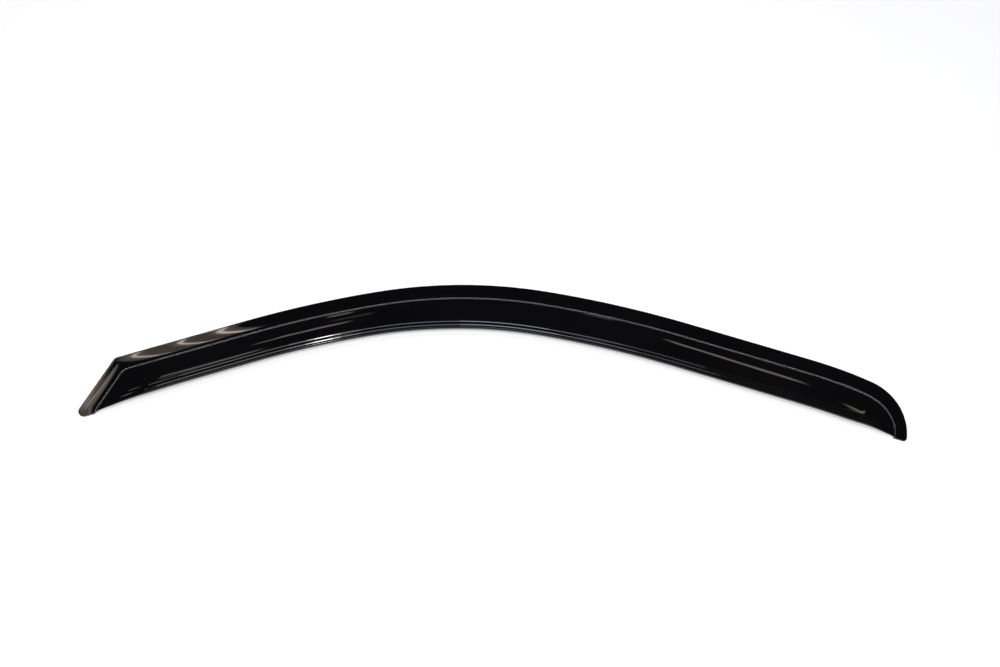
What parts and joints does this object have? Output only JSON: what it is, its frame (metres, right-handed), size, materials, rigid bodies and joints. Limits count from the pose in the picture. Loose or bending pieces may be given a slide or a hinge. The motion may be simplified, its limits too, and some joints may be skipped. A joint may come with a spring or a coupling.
{
  "type": "window rain deflector",
  "caption": "Arched moulded sheet that shields the top of a door window, with a flat stick-on flange, a raised hood, twin ribs and a turned lower lip.",
  "frame": {"origin": "on the back of the flange, at the peak of the bend, half way across the flange", "axes": "+X along the length towards the rounded rear end, +Y across the sheet towards the flange's outer edge, +Z out of the back of the flange towards the hood's face"},
  "size_m": [1, 0.2035, 0.0219],
  "materials": {
    "sheet": "polished gloss black acrylic"
  },
  "bodies": {
    "root": {"sheet": "sheet"}
  },
  "joints": []
}
